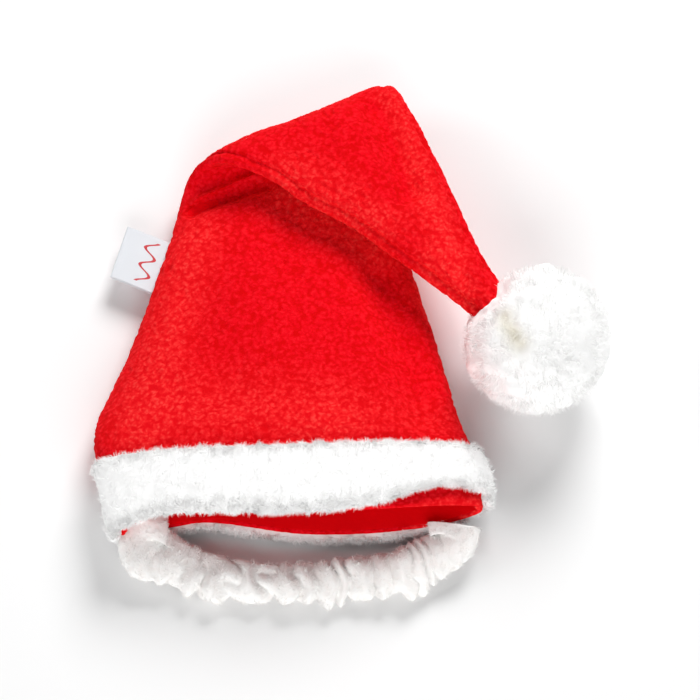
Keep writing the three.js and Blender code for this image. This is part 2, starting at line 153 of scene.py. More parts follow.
# Sections of the flat bag. along is a share of its length, lean and half are shares of its mouth's
# width, and edge, front and back are shares of its loft: the height of the side seams, and how far
# each panel stands from them. blunt flattens the back panel, and turn is how far the section turns
# from square to parallel with the fold.
CROWN_COLUMN_NAMES = ("along", "lean", "half", "edge", "front", "back", "blunt", "turn")
CROWN_ROWS = [
    (0.0, 0.0685, 0.4755, 0.59, 0.41, 0.378, 0.6, 0.0),
    (0.05, 0.052, 0.489, 0.58, 0.46, 0.368, 0.6, 0.0),
    (0.1, 0.015, 0.492, 0.54, 0.52, 0.34, 0.6, 0.0),
    (0.144, 0.001, 0.479, 0.44, 0.58, 0.42, 0.5, 0.0),
    (0.19, 0.01, 0.453, 0.35, 0.63, 0.38, 0.4, 0.0),
    (0.284, 0.021, 0.398, 0.31, 0.59, 0.33, 0.4, 0.3),
    (0.372, 0.021, 0.348, 0.3, 0.48, 0.32, 0.4, 0.8),
    (0.46, 0.0235, 0.304, 0.29, 0.36, 0.29, 0.5, 1.0),
    (0.548, 0.036, 0.272, 0.29, 0.2, 0.2, 0.7, 1.0),
    (0.648, 0.048, 0.233, 0.29, 0.16, 0.2, 0.8, 1.0),
    (0.707, 0.029, 0.211, 0.29, 0.19, 0.27, 0.8, 0.9),
    (0.774, 0.005, 0.167, 0.29, 0.2, 0.28, 0.85, 0.6),
    (0.862, -0.046, 0.116, 0.29, 0.22, 0.27, 0.9, 0.2),
    (0.947, -0.095, 0.07, 0.29, 0.22, 0.25, 1.0, 0.0),
    (1.0, -0.12, 0.055, 0.29, 0.21, 0.22, 1.0, 0.0),
]

# Edge of the mouth. across is a share of its half width, and the rest are shares of the cuff's
# width: how far each panel's fleece reaches past the mouth's line, and the plush past the fleece.
MOUTH_COLUMN_NAMES = ("across", "front", "back", "front_plush", "back_plush")
MOUTH_ROWS = [
    (-1.0, 0.11, 0.11, 0.11, 0.11),
    (-0.75, -0.06, -0.09, 0.11, 0.11),
    (-0.5, -0.075, -0.2, 0.11, 0.11),
    (0.0, 0.015, 0.0, 0.11, 0.11),
    (0.4, 0.045, 0.08, 0.0, 0.11),
    (0.75, 0.055, 0.1, -0.22, 0.07),
    (1.0, 0.07, 0.07, -0.14, -0.05),
]

# Dents and swellings, each along a line of the flat bag: its panel, its two ends as (along, across),
# its width as a share of the mouth's, and its depth as a share of the loft.
DENTS = [
    ("front", (0.346, 0.7), (0.139, 0.8), 0.055, 0.12),
    ("front", (0.295, -0.6), (0.177, -0.31), 0.07, 0.05),
    ("front", (0.38, 0.05), (0.24, 0.25), 0.08, 0.04),
    ("back", (0.6, -0.15), (0.64, 0.35), 0.07, 0.07),
    ("back", (0.69, 0.58), (0.805, 0.16), 0.05, 0.2),
    ("back", (0.886, 0.6), (0.946, -0.35), 0.03, 0.06),
    ("front", (0.462, -0.85), (0.495, -0.2), 0.02, 0.16),
    ("front", (0.484, -0.85), (0.52, -0.22), 0.02, -0.08),
]

# Patches of painted light on the fleece: painted highlights where its lobes and edges catch the
# light, each along a line of the lying hat seen from above: its two ends as (x, y), its width, and
# how strong it is, less than zero for painted shade in the valley between two of them.
PAINTED_LIGHT_PATCHES = [
    ((-28.0, 71.0), (11.0, 45.0), 12.0, 0.85),
    ((16.0, 113.0), (44.0, 28.0), 7.5, 1.0),
    ((36.0, 23.0), (50.0, 7.0), 9.0, 0.9),
    ((-92.0, -52.0), (-71.0, 50.0), 12.0, 0.9),
    ((-82.0, -42.0), (-10.0, -48.0), 18.0, 0.75),
    ((-10.0, -48.0), (38.0, -46.0), 12.0, 0.35),
    ((12.0, 106.0), (20.0, 62.0), 7.0, -0.8),
    ((30.0, -93.0), (54.0, -86.0), 5.0, 1.0),
]


def curve_through(rows, names, name, place):
    """Values of one column on a smooth curve through a table's rows, keyed by its first column:
    between two rows, the cubic whose slope at each row is that from the row before to the row
    after it. Outside the table it keeps the end rows' values."""
    table = np.array(rows, dtype=float)
    key = table[:, 0]
    value = table[:, names.index(name)]
    place = np.clip(place, key[0], key[-1])
    before = np.maximum(np.arange(len(key)) - 1, 0)
    after = np.minimum(np.arange(len(key)) + 1, len(key) - 1)
    slope = (value[after] - value[before]) / (key[after] - key[before])
    i = np.clip(np.searchsorted(key, place, side="right") - 1, 0, len(key) - 2)
    step = key[i + 1] - key[i]
    t = (place - key[i]) / step
    rising = t * t * (3 - 2 * t)
    flat = value[i] * (1 - rising) + value[i + 1] * rising
    return flat + slope[i] * step * t * (1 - t) ** 2 - slope[i + 1] * step * t * t * (1 - t)


def crown_column(name, along):
    """A column of the crown's table at places along it."""
    return curve_through(CROWN_ROWS, CROWN_COLUMN_NAMES, name, along)


def mouth_column(front_name, back_name, across, up):
    """A column of the mouth's table, the front panel's where up is positive and else the back's."""
    front = curve_through(MOUTH_ROWS, MOUTH_COLUMN_NAMES, front_name, across)
    back = curve_through(MOUTH_ROWS, MOUTH_COLUMN_NAMES, back_name, across)
    return np.where(up >= 0, front, back)


def dent_depth(panel, x, y):
    """Sum over a panel's dents of depth times exp(-(distance to the dent's line / width)^2)."""
    depth = np.zeros_like(x)
    for name, start, end, width, deep in DENTS:
        if name != panel:
            continue
        ends = np.array([start, end])
        end_x = crown_column("lean", ends[:, 0]) + ends[:, 1] * crown_column("half", ends[:, 0])
        end_x = end_x * MOUTH_WIDTH
        end_y = ends[:, 0] * CROWN_LENGTH
        run = np.array([end_x[1] - end_x[0], end_y[1] - end_y[0]])
        share = ((x - end_x[0]) * run[0] + (y - end_y[0]) * run[1]) / (run @ run)
        t = np.clip(share, 0, 1)
        distance = np.hypot(x - end_x[0] - run[0] * t, y - end_y[0] - run[1] * t)
        depth += deep * CROWN_LOFT * np.exp(-((distance / (width * MOUTH_WIDTH)) ** 2))
    return depth


def roll_over(x, y, edge, rise):
    """The flat bag's place (x, y, edge + rise) after what lies past the fold line is rolled over a
    cylinder of the fold's radius and laid back: past the line by p, the cloth turns by p / radius,
    up to half a turn, and the rest runs straight back."""
    sin, cos = math.sin(FOLD_ANGLE), math.cos(FOLD_ANGLE)
    past = (y - FOLD_DISTANCE) * cos - x * sin
    beside = (y - FOLD_DISTANCE) * sin + x * cos
    turn = np.clip(past / FOLD_RADIUS, 0, math.pi)
    arm = FOLD_RADIUS - rise
    back = np.where(past > 0, arm * np.sin(turn) - (past - turn * FOLD_RADIUS), past)
    height = np.where(past > 0, edge + FOLD_RADIUS - arm * np.cos(turn), edge + rise)
    return np.stack(
        [
            MOUTH_X + beside * cos - back * sin,
            MOUTH_Y + FOLD_DISTANCE + beside * sin + back * cos,
            height,
        ],
        axis=-1,
    )


def crown_flat(along, angle, outset):
    """The crown before it is folded: x and y on the flat bag, the height of its side seams, and
    how far the cloth rises from them. angle goes round from the right seam over the front panel,
    and outset is the distance outwards from the fleece's outer face. The rise is the panel's height
    times |sin(angle)| to the power of blunt, less the dents, and a seam pulls the cloth in by its
    depth times exp(-(distance to the seam / its width)^2)."""
    across, up = np.cos(angle), np.sin(angle)
    side = np.where(up >= 0, 1.0, -1.0)
    half = crown_column("half", along) * MOUTH_WIDTH + outset
    edge = crown_column("edge", along) * CROWN_LOFT
    panel = np.where(up >= 0, crown_column("front", along), crown_column("back", along))
    blunt = np.where(up >= 0, 1.0, crown_column("blunt", along))
    x = crown_column("lean", along) * MOUTH_WIDTH + across * half

    line_left = np.clip(1 - along / MOUTH_FADE, 0, 1)
    edge_left = np.clip(1 - along * CROWN_LENGTH / CUFF_WIDTH, 0, 1)
    line = MOUTH_SLANT * across + MOUTH_ARCH * across**2
    lip = mouth_column("front", "back", across, up) * CUFF_WIDTH
    y = along * CROWN_LENGTH + line * line_left - lip * edge_left

    rise = side * np.abs(up) ** blunt * (panel * CROWN_LOFT + outset)
    dents = np.where(up >= 0, dent_depth("front", x, y), dent_depth("back", x, y))
    rise = rise - side * dents * np.minimum(1, 2 * np.abs(up))
    rise = np.maximum(rise, np.maximum(0, -outset) - edge)

    round_edge = -side * ((1 - np.abs(across)) * half + np.abs(rise))
    shift_t = np.clip((along - SHIFT_START) / SHIFT_RUN, 0, 1)
    from_seam = round_edge - SEAM_SHIFT * shift_t * shift_t * (3 - 2 * shift_t)
    pull = SEAM_DEPTH * np.exp(-((from_seam / SEAM_WIDTH) ** 2))
    return x - pull * across, y, edge, rise - pull * up


def crown_point(along, angle, outset):
    """A point of the folded crown, in millimetres."""
    return roll_over(*crown_flat(along, angle, outset))


def waves(places, pitch, count, seed):
    """Smooth noise of one pitch: the sum of count cosine waves in random directions, each about
    that long, divided by the root of half their count, so it mostly stays between -2 and 2."""
    rng = np.random.default_rng(seed)
    ways = rng.normal(size=(count, 3))
    ways /= np.linalg.norm(ways, axis=1, keepdims=True)
    ways *= 2 * math.pi / (pitch * rng.uniform(0.8, 1.25, (count, 1)))
    starts = rng.uniform(0, 2 * math.pi, count)
    total = np.zeros(places.shape[:-1])
    for way, start in zip(ways, starts):
        total += np.cos(places @ way + start)
    return total / math.sqrt(count / 2)


def grid_faces(rings, columns, closed_rings=False):
    """Four-sided faces of a grid of points, ring after ring. Columns always close on themselves."""
    ring = np.arange(rings if closed_rings else rings - 1)[:, None]
    column = np.arange(columns)[None, :]
    here, over = ring * columns, (ring + 1) % rings * columns
    beside = (column + 1) % columns
    faces = np.stack([here + column, here + beside, over + beside, over + column], axis=-1)
    return faces.reshape(-1, 4)


def mesh_piece(name, points, faces, materials):
    """A smooth piece at the origin, from points in millimetres and faces that are one array or
    several, one for each material."""
    lists = faces if isinstance(faces, list) else [faces]
    mesh = bpy.data.meshes.new(name)
    corner_counts = np.concatenate([np.full(len(f), f.shape[1]) for f in lists])
    mesh.vertices.add(len(points))
    mesh.vertices.foreach_set("co", (np.asarray(points) * MM).astype(np.float32).ravel())
    mesh.loops.add(int(corner_counts.sum()))
    face_points = np.concatenate([f.ravel() for f in lists])
    mesh.loops.foreach_set("vertex_index", face_points.astype(np.int32))
    mesh.polygons.add(len(corner_counts))
    starts = np.concatenate([[0], np.cumsum(corner_counts)[:-1]])
    mesh.polygons.foreach_set("loop_start", starts.astype(np.int32))
    mesh.polygons.foreach_set("use_smooth", np.ones(len(corner_counts), dtype=bool))
    for material in materials:
        mesh.materials.append(material)
    slots = np.concatenate([np.full(len(f), i) for i, f in enumerate(lists)])
    mesh.polygons.foreach_set("material_index", slots.astype(np.int32))
    mesh.update(calc_edges=True)
    mesh.validate()
    piece = bpy.data.objects.new(name, mesh)
    bpy.context.scene.collection.objects.link(piece)
    return piece


def merge_points(piece):
    """Merges the points of a piece that fall together, where its surface ends in a seam or pole."""
    surface = bmesh.new()
    surface.from_mesh(piece.data)
    bmesh.ops.remove_doubles(surface, verts=surface.verts, dist=0.001 * MM)
    surface.to_mesh(piece.data)
    surface.free()


def point_values(piece, name, values):
    """Stores a value for each of a piece's points as an attribute that its material reads."""
    attribute = piece.data.attributes.new(name, "FLOAT", "POINT")
    attribute.data.foreach_set("value", values.astype(np.float32))


def painted_light_share(points):
    """How much painted highlight each point gets, from 0 to 1, less where painted shade takes it off:
    the sum over the patches of strength times exp(-(level distance to the patch's line / width)^2),
    kept between 0 and 1."""
    total = np.zeros(len(points))
    for start, end, width, strength in PAINTED_LIGHT_PATCHES:
        start, run = np.array(start), np.subtract(end, start)
        share = np.clip((points[:, :2] - start) @ run / (run @ run), 0, 1)
        distance = np.linalg.norm(points[:, :2] - start - share[:, None] * run, axis=1)
        total += strength * np.exp(-((distance / width) ** 2))
    return np.clip(total, 0, 1)


def round_angle(share):
    """Angle at a share of the way round the flat bag: 2 pi times the share, and a little of the
    sine of twice that, so that equal shares take nearly equal steps of cloth."""
    return 2 * math.pi * share + ROUND_BEND * np.sin(4 * math.pi * share)


def crown_ring_places(along):
    """Places of whole rings: each column's angle, and its place along, so that rings near the fold
    run parallel with it."""
    angle = round_angle(np.arange(CROWN_COLUMNS)[None, :] / CROWN_COLUMNS)
    half = crown_column("half", along) * MOUTH_WIDTH
    slant = crown_column("turn", along) * half * math.tan(FOLD_ANGLE) / CROWN_LENGTH
    return along[:, None] + slant[:, None] * np.cos(angle), np.repeat(angle, len(along), axis=0)


def nap(along, angle):
    """How far the nap stands out: its height times the sum of curls and swells, each times its
    share. The curls are 1 less the absolute value of fine noise, so that rounded curls meet in
    narrow pits, and the swells are broad noise. Both are noise on the unfolded bag."""
    x, y, edge, rise = crown_flat(along, angle, np.zeros_like(angle))
    places = np.stack([x, y, edge + rise], axis=-1)
    curls = 1 - np.abs(waves(places, 2 * CURL_PITCH, 44, seed=3))
    swells = waves(places, SWELL_PITCH, 30, seed=4)
    return CURL_HEIGHT * ((1 - SWELL_SHARE) * curls + SWELL_SHARE * swells)


wall = FLEECE_THICKNESS / CROWN_LENGTH
inner_end = 1 - 2 * wall  # the inner face stops short of the tip
inner_seam = 1 - 1.6 * wall  # and closes there in a line
outer_along = np.linspace(1.0, 0.0, OUTER_RINGS)
inner_along = np.linspace(0.0, 1.0, INNER_RINGS) ** INNER_CROWDING * inner_end
lip_turn = np.linspace(0, math.pi, LIP_RINGS + 2)[1:-1]  # round the cloth's edge, from outside in

along, angle = crown_ring_places(outer_along)
outer_points = crown_point(along, angle, nap(along, angle))
lip_along = -0.5 * wall * np.sin(lip_turn)
along, angle = crown_ring_places(lip_along)
lip_inwards = 0.5 * FLEECE_THICKNESS * (1 - np.cos(lip_turn))
lip_outset = LIP_NAP * nap(along, angle) - lip_inwards[:, None]
lip_points = crown_point(along, angle, lip_outset)
along, angle = crown_ring_places(inner_along)
inner_nap = INNER_NAP * nap(along, angle) * np.exp(-inner_along * CROWN_LENGTH)[:, None]
inner_points = crown_point(along, angle, inner_nap - FLEECE_THICKNESS)

# Inside the tip the panels meet in a line: each point of the last ring lies midway between its own
# place and the place of the point that faces it on the other panel.
along, angle = crown_ring_places(np.array([inner_seam]))
end_ring = crown_point(along, angle, np.full_like(angle, -FLEECE_THICKNESS))
facing = (-np.arange(CROWN_COLUMNS)) % CROWN_COLUMNS
end_ring = (end_ring + end_ring[:, facing]) / 2
rings = np.concatenate([outer_points, lip_points, inner_points, end_ring])
crown_points = rings.reshape(-1, 3)
crown_faces = grid_faces(len(rings), CROWN_COLUMNS)


def noise_texture(tree, scale, detail, roughness, distortion, location=(0, 0, 0)):
    """A Noise texture on Object coordinates, as its node. scale is cells a metre."""
    coordinates = tree.nodes.new("ShaderNodeTexCoord")
    mapping = tree.nodes.new("ShaderNodeMapping")
    mapping.inputs["Location"].default_value = location
    noise = tree.nodes.new("ShaderNodeTexNoise")
    noise.inputs["Scale"].default_value = scale
    noise.inputs["Detail"].default_value = detail
    noise.inputs["Roughness"].default_value = roughness
    noise.inputs["Distortion"].default_value = distortion
    tree.links.new(coordinates.outputs["Object"], mapping.inputs["Vector"])
    tree.links.new(mapping.outputs["Vector"], noise.inputs["Vector"])
    return noise


def curl_texture(tree, scale, pull):
    """Rounded, uneven curls as a height, about 0.4 between them and 0.7 at their middles: 0.9 less
    the distance to the middle of a Voronoi cell, where noise has drawn the cells out by up to half
    of pull, in metres, mixed with 45 percent of finer noise."""
    noise = noise_texture(tree, 0.7 * scale, 1, 0.5, 0.0, (4, 2, 7))
    centred = tree.nodes.new("ShaderNodeVectorMath")
    centred.operation = "SUBTRACT"
    centred.inputs[1].default_value = (0.5, 0.5, 0.5)
    tree.links.new(noise.outputs["Color"], centred.inputs[0])
    scaled = tree.nodes.new("ShaderNodeVectorMath")
    scaled.operation = "SCALE"
    scaled.inputs["Scale"].default_value = pull
    tree.links.new(centred.outputs["Vector"], scaled.inputs[0])
    moved = tree.nodes.new("ShaderNodeVectorMath")
    moved.operation = "ADD"
    coordinates = tree.nodes.new("ShaderNodeTexCoord")
    tree.links.new(coordinates.outputs["Object"], moved.inputs[0])
    tree.links.new(scaled.outputs["Vector"], moved.inputs[1])
    cells = tree.nodes.new("ShaderNodeTexVoronoi")
    cells.feature = "SMOOTH_F1"
    cells.inputs["Scale"].default_value = scale
    cells.inputs["Smoothness"].default_value = 0.7
    tree.links.new(moved.outputs["Vector"], cells.inputs["Vector"])
    height = tree.nodes.new("ShaderNodeMath")
    height.operation = "SUBTRACT"
    height.inputs[0].default_value = 0.9
    tree.links.new(cells.outputs["Distance"], height.inputs[1])
    tangle = noise_texture(tree, 1.6 * scale, 2, 0.6, 0.6, (6, 1, 3))
    uneven = tree.nodes.new("ShaderNodeMix")
    uneven.inputs["Factor"].default_value = 0.45
    tree.links.new(height.outputs["Value"], uneven.inputs["A"])
    tree.links.new(tangle.outputs["Fac"], uneven.inputs["B"])
    return uneven.outputs["Result"]


def ramp(tree, source, stops):
    """The colour of a ramp over a node's output, with stops as (place, colour)."""
    node = tree.nodes.new("ShaderNodeValToRGB")
    node.color_ramp.elements[0].position = stops[0][0]
    node.color_ramp.elements[0].color = (*stops[0][1], 1.0)
    node.color_ramp.elements[1].position = stops[-1][0]
    node.color_ramp.elements[1].color = (*stops[-1][1], 1.0)
    for place, color in stops[1:-1]:
        element = node.color_ramp.elements.new(place)
        element.color = (*color, 1.0)
    tree.links.new(source, node.inputs["Fac"])
    return node.outputs["Color"]


def mix_colors(tree, factor, first, second):
    """Two colour outputs mixed by the output of a third node."""
    node = tree.nodes.new("ShaderNodeMix")
    node.data_type = "RGBA"
    tree.links.new(factor, node.inputs["Factor"])
    tree.links.new(first, node.inputs["A"])
    tree.links.new(second, node.inputs["B"])
    return node.outputs["Result"]


def bump(tree, shader, height, distance, strength, below=None):
    """A Bump node on a height, laid over the one below it, and led into the shader."""
    node = tree.nodes.new("ShaderNodeBump")
    node.inputs["Distance"].default_value = distance
    node.inputs["Strength"].default_value = strength
    tree.links.new(height, node.inputs["Height"])
    if below is not None:
        tree.links.new(below.outputs["Normal"], node.inputs["Normal"])
    tree.links.new(node.outputs["Normal"], shader.inputs["Normal"])
    return node


def fleece_material():
    """Matte red fleece: painted highlights on the curls' tops and painted shade in their pits,
    and more painted highlight in patches where the hat catches the light.
    """
    material, shader = plain_material("red_fleece", (0.8, 0.01, 0.02), 0.95)
    tree = material.node_tree
    curls = curl_texture(tree, 470, 0.0035)
    # Both ramps run over the curls' height: painted shade in the pits between the curls and painted
    # highlights on their tops, over the bump that shades them as well.
    plain_stops = [
        (0.34, (0.68, 0.0003, 0.002)),
        (0.5, (0.82, 0.0015, 0.009)),
        (0.66, (0.89, 0.007, 0.016)),
    ]
    # A lighter ramp, mixed in for the painted highlights of the patches.
    painted_highlight_stops = [
        (0.34, (0.8, 0.003, 0.008)),
        (0.5, (0.92, 0.016, 0.019)),
        (0.66, (0.98, 0.05, 0.042)),
    ]
    plain_color = ramp(tree, curls, plain_stops)
    painted_highlight_color = ramp(tree, curls, painted_highlight_stops)
    # Mixes in the lighter ramp by the stored painted light: painted highlights on lobes and edges,
    # painted shade in a valley.
    painted_light = tree.nodes.new("ShaderNodeAttribute")
    painted_light.attribute_name = "painted_light"
    color = mix_colors(tree, painted_light.outputs["Fac"], plain_color, painted_highlight_color)
    tree.links.new(color, shader.inputs["Base Color"])
    fibres = noise_texture(tree, 1500, 2, 0.6, 0.4, (1, 5, 2))
    coarse = bump(tree, shader, curls, 0.0006, 0.6)
    bump(tree, shader, fibres.outputs["Fac"], 0.0002, 0.4, coarse)
    shader.inputs["Specular IOR Level"].default_value = 0.05
    shader.inputs["Sheen Weight"].default_value = 0.1
    shader.inputs["Sheen Roughness"].default_value = 0.5
    shader.inputs["Sheen Tint"].default_value = (1.0, 0.2, 0.15, 1.0)
    return material


def fleece_back_material():
    """The smooth inner side of the same fleece, with hardly any nap."""
    material, shader = plain_material("fleece_back", (0.96, 0.0012, 0.006), 0.9)
    tree = material.node_tree
    nubs = noise_texture(tree, 700, 2, 0.5, 0.3, (2, 2, 5))
    bump(tree, shader, nubs.outputs["Fac"], 0.0003, 0.4)
    shader.inputs["Specular IOR Level"].default_value = 0.05
    return material


red_fleece = fleece_material()
inner_start = (OUTER_RINGS + LIP_RINGS) * CROWN_COLUMNS
tip_cap = np.arange(CROWN_COLUMNS)[None, ::-1]
crown_skins = [crown_faces[:inner_start], crown_faces[inner_start:], tip_cap]
crown_materials = [red_fleece, fleece_back_material(), red_fleece]
crown = mesh_piece("crown_fleece", crown_points, crown_skins, crown_materials)
# Stores where light is painted on the fleece: highlights on its lobes and edges, shade in the flap's
# valley.
point_values(crown, "painted_light", painted_light_share(crown_points))
merge_points(crown)
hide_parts("crown")
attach(crown, "root")

# Cuff. The real one is a band of short white plush over the mouth's edge, sewn on at both edges.
# The pile stands out at its edges and lies in small tufts over its face.
PLUSH_THICKNESS = 6.5
PLUSH_TAPER = 0.35  # share of the thickness that is lost at the edge away from the mouth
TUFT_PITCH = 7.0  # from one tuft of the plush to the next
TUFT_HEIGHT = 0.25
FLOOR_GAP = 0.05  # between the paper and the lowest cloth
CUFF_COLUMNS = 300
UNDERSIDE_END = 0.47  # place on the band's section where its side on the fleece ends
UNDERSIDE_STEPS = 8
PLUSH_STEPS = 44
CUFF_PILE = 30000
CUFF_PILE_LENGTH = 2.8
CUFF_PILE_WIDTH = 0.3
FACE_PILE = 0.06  # density of the pile on the band's face, beside those of its two edges
EDGE_PILE = [(0.54, 0.04, 0.7), (0.95, 0.05, 1.0)]  # place on the section, width and density

# Section of the band. reach is a share of its width from the mouth's edge, and depth a share of
# its thickness from the fleece.
CUFF_SECTION_NAMES = ("place", "reach", "depth")
CUFF_SECTION = [
    (0.0, 0.05, 0.0),
    (0.12, 0.28, 0.0),
    (0.24, 0.52, 0.0),
    (0.36, 0.76, 0.0),
    (UNDERSIDE_END, 0.97, 0.0),
    (0.52, 0.985, 0.35),
    (0.57, 0.92, 0.7),
    (0.66, 0.72, 0.82),
    (0.78, 0.42, 0.82),
    (0.90, 0.14, 0.78),
    (0.95, 0.035, 0.6),
    (0.98, 0.015, 0.3),
    (1.0, 0.05, 0.0),
]


def cuff_point(share, place, swell):
    """A point of the plush band. share goes round the mouth, place round the band's section from
    the mouth's edge along the fleece and back over the plush, and swell thickens the plush."""
    angle = -round_angle(share)
    overhang = MOUTH_ROWS[0][3] * CUFF_WIDTH
    past = mouth_column("front_plush", "back_plush", np.cos(angle), np.sin(angle)) * CUFF_WIDTH
    reach = curve_through(CUFF_SECTION, CUFF_SECTION_NAMES, "reach", place)
    depth = curve_through(CUFF_SECTION, CUFF_SECTION_NAMES, "depth", place)
    along = reach * (CUFF_WIDTH - overhang) - (1 - reach) * past
    outset = SEAT_GAP + depth * PLUSH_THICKNESS * (1 - PLUSH_TAPER * reach) + depth * swell
    return crown_point(along / CROWN_LENGTH, angle, outset)


underside_places = np.linspace(0, UNDERSIDE_END, UNDERSIDE_STEPS + 1)[:-1]
plush_places = np.linspace(UNDERSIDE_END, 1.0, PLUSH_STEPS + 1)[:-1]
section_places = np.concatenate([underside_places, plush_places])
share, place = np.meshgrid(np.arange(CUFF_COLUMNS) / CUFF_COLUMNS, section_places, indexing="ij")
cuff_base = cuff_point(share, place, 0.0)
tufts = waves(cuff_base, TUFT_PITCH, 36, seed=11)
cuff_base = cuff_point(share, place, TUFT_HEIGHT * tufts)
cuff_faces = grid_faces(CUFF_COLUMNS, len(section_places), closed_rings=True)


def unit(vectors):
    """Vectors of the same ways, each 1 long."""
    return vectors / np.maximum(np.linalg.norm(vectors, axis=-1, keepdims=True), 1e-9)


def face_spots(points, faces, count, rng, weight=None):
    """Random spots on four-sided faces, spread by area times weight: the spots, and the faces'
    normals there."""
    a, b, c, d = (points[faces[:, i]] for i in range(4))
    normal = np.cross(c - a, d - b)
    area = np.linalg.norm(normal, axis=1) / 2
    chance = area if weight is None else area * weight
    edges = np.cumsum(chance)
    picked = np.searchsorted(edges, rng.uniform(0, edges[-1], count))
    s, t = rng.uniform(0, 1, (2, count, 1))
    low = a[picked] * (1 - s) + b[picked] * s
    high = d[picked] * (1 - s) + c[picked] * s
    return low * (1 - t) + high * t, unit(normal)[picked]


def pile_ways(spots, normals, upright, leaning, stray, least, pitch, seeds, rng):
    """Ways that the pile points: upright times the normal, plus leaning times smooth noise of one
    pitch, plus stray times a random way, and raised where they rise off the surface by less than
    least."""
    lean = np.stack([waves(spots, pitch, 24, seed) for seed in seeds], axis=1)
    ways = unit(upright * normals + leaning * lean + stray * rng.normal(size=spots.shape))
    rise = (ways * normals).sum(axis=1, keepdims=True)
    return unit(ways + normals * np.maximum(0, least - rise))


def pile(spots, normals, ways, lengths, width, curl, rng):
    """Blades of pile, each of a four-sided foot and a pointed end, whose flat faces look outwards.
    In shares of its length, a blade's foot is sunk by 0.12, its middle lies 0.55 out, and its point
    leans aside by curl. Its middle is 0.7 as wide as its foot."""
    count = len(spots)
    aside = unit(np.cross(ways, normals + 0.25 * rng.normal(size=(count, 3))))
    bend = unit(rng.normal(size=(count, 3)))
    foot = spots - ways * 0.12 * lengths[:, None]
    middle = spots + ways * 0.55 * lengths[:, None]
    point = spots + unit(ways + bend * curl) * lengths[:, None]
    half = aside * width / 2
    corners = [foot + half, foot - half, middle - 0.7 * half, middle + 0.7 * half, point]
    blades = np.stack(corners, axis=1)
    start = np.arange(count)[:, None] * 5
    feet = start + np.array([0, 1, 2, 3])
    points = start + np.array([3, 2, 4])
    return blades.reshape(-1, 3), feet, points


def plush_material(name, shade, light, tuft_scale, parting=False):
    """Matte white pile with a little painted shade between its tufts, and beige along a
    parting."""
    material, shader = plain_material(name, light, 1.0)
    tree = material.node_tree
    tufts = noise_texture(tree, tuft_scale, 3, 0.55, 0.4)
    color = ramp(tree, tufts.outputs["Fac"], [(0.32, shade), (0.55, light)])
    if parting:
        parting_color = tree.nodes.new("ShaderNodeRGB")
        parting_color.outputs["Color"].default_value = (0.91, 0.88, 0.79, 1.0)
        parted_share = tree.nodes.new("ShaderNodeAttribute")
        parted_share.attribute_name = "parting"
        color = mix_colors(tree, parted_share.outputs["Fac"], color, parting_color.outputs["Color"])
    tree.links.new(color, shader.inputs["Base Color"])
    fibres = noise_texture(tree, 5 * tuft_scale, 3, 0.6, 0.3, (2, 4, 1))
    coarse = bump(tree, shader, tufts.outputs["Fac"], 0.0007, 0.5)
    bump(tree, shader, fibres.outputs["Fac"], 0.0003, 0.3, coarse)
    shader.inputs["Specular IOR Level"].default_value = 0.1
    shader.inputs["Sheen Weight"].default_value = 0.5
    shader.inputs["Sheen Roughness"].default_value = 0.5
    return material


def furry_piece(name, base_points, base_faces, blades, material):
    """A piece of a closed base and its pile, all of one material."""
    blade_points, feet, tips = blades
    first = len(base_points)
    points = np.concatenate([base_points, blade_points])
    return mesh_piece(name, points, [base_faces, feet + first, tips + first], [material] * 3)


cuff_rng = np.random.default_rng(21)
flat_base = cuff_base.reshape(-1, 3)
face_place = np.tile(section_places, CUFF_COLUMNS)
on_edges = sum(
    density * np.exp(-(((face_place - edge) / width) ** 2)) for edge, width, density in EDGE_PILE
)
pile_weight = np.where(face_place > UNDERSIDE_END, FACE_PILE + on_edges, 0.0)
spots, normals = face_spots(flat_base, cuff_faces, CUFF_PILE, cuff_rng, pile_weight)
ways = pile_ways(
    spots, normals, upright=0.75, leaning=0.8, stray=0.5, least=0.35, pitch=8.0,
    seeds=(31, 32, 33), rng=cuff_rng,
)
lengths = CUFF_PILE_LENGTH * cuff_rng.uniform(0.4, 1.1, CUFF_PILE)
cuff_blades = pile(spots, normals, ways, lengths, CUFF_PILE_WIDTH, 0.4, cuff_rng)
cuff_blades[0][:, 2] = np.maximum(cuff_blades[0][:, 2], FLOOR_GAP)
white_plush = plush_material("white_plush", (0.97, 0.967, 0.962), (0.99, 0.99, 0.987), 260)
cuff = furry_piece("cuff_plush", flat_base, cuff_faces, cuff_blades, white_plush)
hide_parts("cuff")
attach(cuff, "root")

# Chin strap. The real one is a tube of the same plush gathered over a flat elastic, from inside the
# left of the mouth round to its right. It is smooth at its two sewn roots and ruffled between them.
STRAP_REACH = 30.0  # how far its middle lies in front of the mouth
STRAP_WIDTH = 24.0
STRAP_HEIGHT = 13.0
STRAP_FOLDS = 21
FOLD_HEIGHT = 2.2  # of one gathered fold
FOLD_WANDER = 15.0  # pitch of the noise that bends the folds
FOLD_SIZES = 22.0  # pitch of the noise that makes some folds larger than others
SCALLOPS = 11  # half waves of the outer edge
STRAP_RINGS = 520
STRAP_SIDES = 56
STRAP_PILE = 16000
STRAP_PILE_LENGTH = 1.8
STRAP_PILE_WIDTH = 0.22

